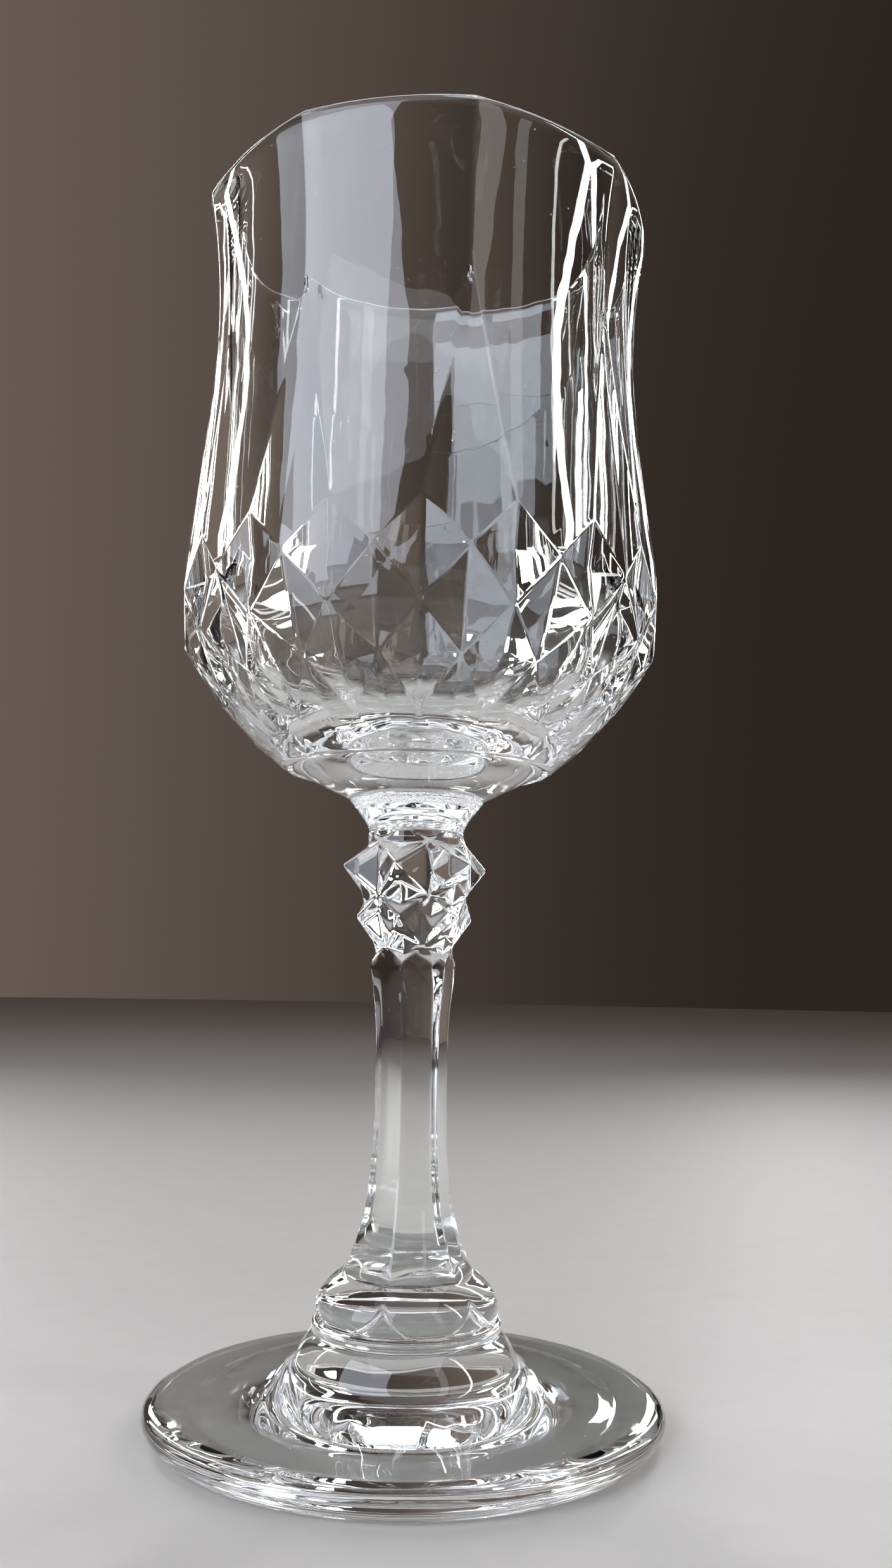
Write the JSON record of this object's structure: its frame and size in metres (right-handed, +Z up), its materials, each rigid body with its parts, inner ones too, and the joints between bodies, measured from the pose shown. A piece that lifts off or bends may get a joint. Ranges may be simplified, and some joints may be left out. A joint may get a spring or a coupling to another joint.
{
  "type": "wine glass",
  "caption": "Clear pressed wine glass with a panelled bowl over a band of diamonds, a studded and faceted stem and a round foot.",
  "frame": {"origin": "centre of the foot, on the table", "axes": "+Z up the stem to the rim, -Y towards one corner of the bowl's panels, X across"},
  "size_m": [0.0664, 0.0668, 0.165],
  "materials": {
    "glass": "clear, fire-polished"
  },
  "bodies": {
    "root": {"bowl": "glass", "merese": "glass", "stem": "glass", "foot": "glass"}
  },
  "joints": []
}
